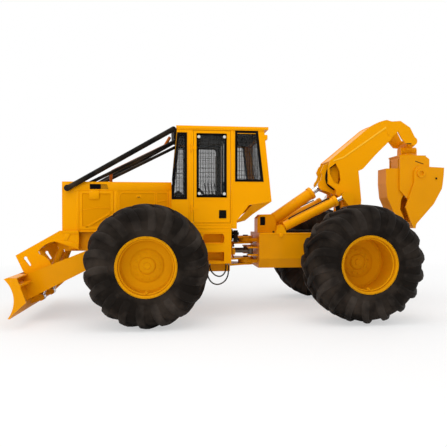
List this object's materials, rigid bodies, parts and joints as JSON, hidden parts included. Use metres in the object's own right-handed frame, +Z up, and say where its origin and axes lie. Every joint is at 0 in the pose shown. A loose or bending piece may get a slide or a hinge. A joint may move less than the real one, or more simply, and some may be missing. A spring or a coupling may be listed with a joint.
{
  "type": "articulated grapple skidder",
  "caption": "Four-wheel articulated forestry skidder with cab, front blade, tilting arch and a rotating log grapple.",
  "frame": {"origin": "on the ground, under the middle of the whole machine's outer box, 64.5 mm ahead of the articulation pins", "axes": "+X to the rear, +Y to the machine's right-hand side, +Z up"},
  "size_m": [7.195, 3.0548, 3.303],
  "materials": {
    "yellow_paint": "gloss yellow paint",
    "wheel_paint": "gloss yellow paint",
    "black_paint": "satin black paint",
    "pipe_paint": "heat-browned yellow paint",
    "engine_paint": "dark painted casting",
    "tyre_rubber": "dull black rubber",
    "hose_rubber": "black hose",
    "glass": "dark clear glass",
    "seat_vinyl": "black vinyl",
    "cab_black": "matt black",
    "chrome_rod": "hard chrome",
    "pin_steel": "turned steel",
    "plated_steel": "zinc plated"
  },
  "bodies": {
    "front_frame": {"front_frame": "yellow_paint", "frame_pins": "pin_steel", "nose": "yellow_paint", "hood": "yellow_paint", "left_hood_panels": "yellow_paint", "right_hood_panels": "yellow_paint", "front_grille": "black_paint", "engine": "engine_paint", "front_axle": "yellow_paint", "cab_shell": "yellow_paint", "cab_roof": "yellow_paint", "cab_windows": "glass", "seat": "seat_vinyl", "dashboard": "cab_black", "left_step_box": "yellow_paint", "right_step_box": "yellow_paint", "limb_risers": "black_paint", "exhaust_pipe": "pipe_paint", "outer_hose": "hose_rubber", "inner_hose": "hose_rubber", "hose_fittings": "plated_steel"},
    "left_door": {"left_door": "yellow_paint", "left_door_window": "glass"},
    "right_door": {"right_door": "yellow_paint", "right_door_window": "glass"},
    "blade": {"blade": "yellow_paint", "push_arms": "yellow_paint"},
    "blade_cylinder_barrel": {"blade_cylinder_barrels": "yellow_paint"},
    "blade_cylinder_rod": {"blade_cylinder_rods": "chrome_rod"},
    "left_steering_barrel": {"left_steering_barrel": "yellow_paint"},
    "left_steering_rod": {"left_steering_rod": "chrome_rod"},
    "right_steering_barrel": {"right_steering_barrel": "yellow_paint"},
    "right_steering_rod": {"right_steering_rod": "chrome_rod"},
    "rear_frame": {"rear_frame": "yellow_paint", "tower": "yellow_paint", "arch_pins": "pin_steel", "rear_axle": "yellow_paint"},
    "arch": {"arch": "yellow_paint"},
    "lift_cylinder_barrel": {"lift_cylinder_barrels": "yellow_paint"},
    "lift_cylinder_rod": {"lift_cylinder_rods": "chrome_rod"},
    "centre_cylinder_barrel": {"centre_cylinder_barrel": "yellow_paint"},
    "centre_cylinder_rod": {"centre_cylinder_rod": "chrome_rod"},
    "hanger_link": {"hanger_link": "yellow_paint"},
    "rotator": {"rotator": "yellow_paint"},
    "grapple_head": {"grapple_head": "yellow_paint"},
    "front_tong": {"front_tong": "yellow_paint"},
    "rear_tong": {"rear_tong": "yellow_paint"},
    "tong_cylinder_barrel": {"tong_cylinder_barrel": "yellow_paint"},
    "tong_cylinder_rod": {"tong_cylinder_rod": "chrome_rod"},
    "front_left_wheel": {"front_left_tyre": "tyre_rubber", "front_left_rim": "wheel_paint"},
    "front_right_wheel": {"front_right_tyre": "tyre_rubber", "front_right_rim": "wheel_paint"},
    "rear_left_wheel": {"rear_left_tyre": "tyre_rubber", "rear_left_rim": "wheel_paint"},
    "rear_right_wheel": {"rear_right_tyre": "tyre_rubber", "rear_right_rim": "wheel_paint"}
  },
  "joints": [
    {"name": "left_door_hinge", "type": "hinge", "parent": "front_frame", "child": "left_door", "pos_m": [-0.9075, -0.752, 2.2], "axis": [0, 0, -1], "range_deg": [0, 85]},
    {"name": "right_door_hinge", "type": "hinge", "parent": "front_frame", "child": "right_door", "pos_m": [-0.9075, 0.752, 2.2], "axis": [0, 0, 1], "range_deg": [0, 85]},
    {"name": "blade_lift", "type": "hinge", "parent": "front_frame", "child": "blade", "pos_m": [-1.9105, 0, 1.18], "axis": [0, 1, 0], "range_deg": [-11, 4]},
    {"name": "blade_cylinder_swing", "type": "hinge", "parent": "front_frame", "child": "blade_cylinder_barrel", "pos_m": [-2.9605, 0, 1.15], "axis": [0, 1, 0], "range_deg": [-15.76, 6.37]},
    {"name": "blade_cylinder_stroke", "type": "slide", "parent": "blade_cylinder_barrel", "child": "blade_cylinder_rod", "axis": [-0.3695, 0, -0.9292], "range_m": [-0.0796, 0.2014]},
    {"name": "articulation", "type": "hinge", "parent": "front_frame", "child": "rear_frame", "pos_m": [0.0645, 0, 1.03], "axis": [0, 0, 1], "range_deg": [-45, 45]},
    {"name": "left_steering_swing", "type": "hinge", "parent": "front_frame", "child": "left_steering_barrel", "pos_m": [-0.7955, -0.3, 1.03], "axis": [0, 0, 1], "range_deg": [-1.9, 1.9]},
    {"name": "left_steering_stroke", "type": "slide", "parent": "left_steering_barrel", "child": "left_steering_rod", "axis": [0.9988, 0.0497, 0], "range_m": [-0.2, 0.2]},
    {"name": "right_steering_swing", "type": "hinge", "parent": "front_frame", "child": "right_steering_barrel", "pos_m": [-0.7955, 0.3, 1.03], "axis": [0, 0, 1], "range_deg": [-1.9, 1.9]},
    {"name": "right_steering_stroke", "type": "slide", "parent": "right_steering_barrel", "child": "right_steering_rod", "axis": [0.9988, -0.0497, 0], "range_m": [-0.2, 0.2]},
    {"name": "front_left_wheel_spin", "type": "hinge", "parent": "front_frame", "child": "front_left_wheel", "pos_m": [-1.5605, -1.14, 0.9], "axis": [0, 1, 0], "continuous": true},
    {"name": "front_right_wheel_spin", "type": "hinge", "parent": "front_frame", "child": "front_right_wheel", "pos_m": [-1.5605, 1.14, 0.9], "axis": [0, 1, 0], "continuous": true},
    {"name": "rear_left_wheel_spin", "type": "hinge", "parent": "rear_frame", "child": "rear_left_wheel", "pos_m": [1.6895, -1.14, 0.9], "axis": [0, 1, 0], "continuous": true},
    {"name": "rear_right_wheel_spin", "type": "hinge", "parent": "rear_frame", "child": "rear_right_wheel", "pos_m": [1.6895, 1.14, 0.9], "axis": [0, 1, 0], "continuous": true},
    {"name": "arch_tilt", "type": "hinge", "parent": "rear_frame", "child": "arch", "pos_m": [1.8895, 0, 1.19], "axis": [0, 1, 0], "range_deg": [-5, 43]},
    {"name": "lift_cylinder_swing", "type": "hinge", "parent": "rear_frame", "child": "lift_cylinder_barrel", "pos_m": [0.5945, 0, 1.415], "axis": [0, 1, 0], "range_deg": [-2.15, 10.93]},
    {"name": "lift_cylinder_stroke", "type": "slide", "parent": "lift_cylinder_barrel", "child": "lift_cylinder_rod", "axis": [0.8984, 0, 0.4391], "range_m": [-0.0715, 0.5392]},
    {"name": "centre_cylinder_swing", "type": "hinge", "parent": "rear_frame", "child": "centre_cylinder_barrel", "pos_m": [0.4645, 0, 1.5], "axis": [0, 1, 0], "range_deg": [-2.3, 12.18]},
    {"name": "centre_cylinder_stroke", "type": "slide", "parent": "centre_cylinder_barrel", "child": "centre_cylinder_rod", "axis": [0.8254, 0, 0.5645], "range_m": [-0.0964, 0.7529]},
    {"name": "hanger_swing", "type": "hinge", "parent": "arch", "child": "hanger_link", "pos_m": [3.0245, 0, 2.93], "axis": [0, -1, 0], "range_deg": [-15, 50]},
    {"name": "cross_swing", "type": "hinge", "parent": "hanger_link", "child": "rotator", "pos_m": [3.0245, 0, 2.8], "axis": [1, 0, 0], "range_deg": [-15, 15]},
    {"name": "grapple_rotation", "type": "hinge", "parent": "rotator", "child": "grapple_head", "pos_m": [3.0245, 0, 2.7], "axis": [0, 0, 1], "continuous": true},
    {"name": "tong_opening", "type": "hinge", "parent": "grapple_head", "child": "front_tong", "pos_m": [2.8845, 0, 2.38], "axis": [0, 1, 0], "range_deg": [-1, 38]},
    {"name": "rear_tong_opening", "type": "hinge", "parent": "grapple_head", "child": "rear_tong", "pos_m": [3.1645, 0, 2.38], "axis": [0, -1, 0], "range_deg": [-2, 39]},
    {"name": "tong_cylinder_swing", "type": "hinge", "parent": "front_tong", "child": "tong_cylinder_barrel", "pos_m": [2.6945, 0, 2.02], "axis": [0, 1, 0], "range_deg": [-39, 2]},
    {"name": "tong_cylinder_stroke", "type": "slide", "parent": "tong_cylinder_barrel", "child": "tong_cylinder_rod", "axis": [1, 0, 0], "range_m": [-0.0204, 0.404]}
  ],
  "couplings": [
    {"joint": "blade_cylinder_swing", "follows": "blade_lift", "ratio": 1.3415},
    {"joint": "blade_cylinder_stroke", "follows": "blade_lift", "m_per_rad": -0.99675},
    {"joint": "left_steering_swing", "follows": "articulation", "ratio": 0.0199},
    {"joint": "left_steering_stroke", "follows": "articulation", "m_per_rad": 0.24185},
    {"joint": "right_steering_swing", "follows": "articulation", "ratio": 0.0199},
    {"joint": "right_steering_stroke", "follows": "articulation", "m_per_rad": -0.24185},
    {"joint": "lift_cylinder_swing", "follows": "arch_tilt", "ratio": 0.23084},
    {"joint": "lift_cylinder_stroke", "follows": "arch_tilt", "m_per_rad": 0.70511},
    {"joint": "centre_cylinder_swing", "follows": "arch_tilt", "ratio": 0.25996},
    {"joint": "centre_cylinder_stroke", "follows": "arch_tilt", "m_per_rad": 0.98995},
    {"joint": "rear_tong_opening", "follows": "tong_opening", "ratio": 1},
    {"joint": "tong_cylinder_swing", "follows": "tong_opening", "ratio": -1},
    {"joint": "tong_cylinder_stroke", "follows": "tong_opening", "m_per_rad": 0.59401}
  ]
}
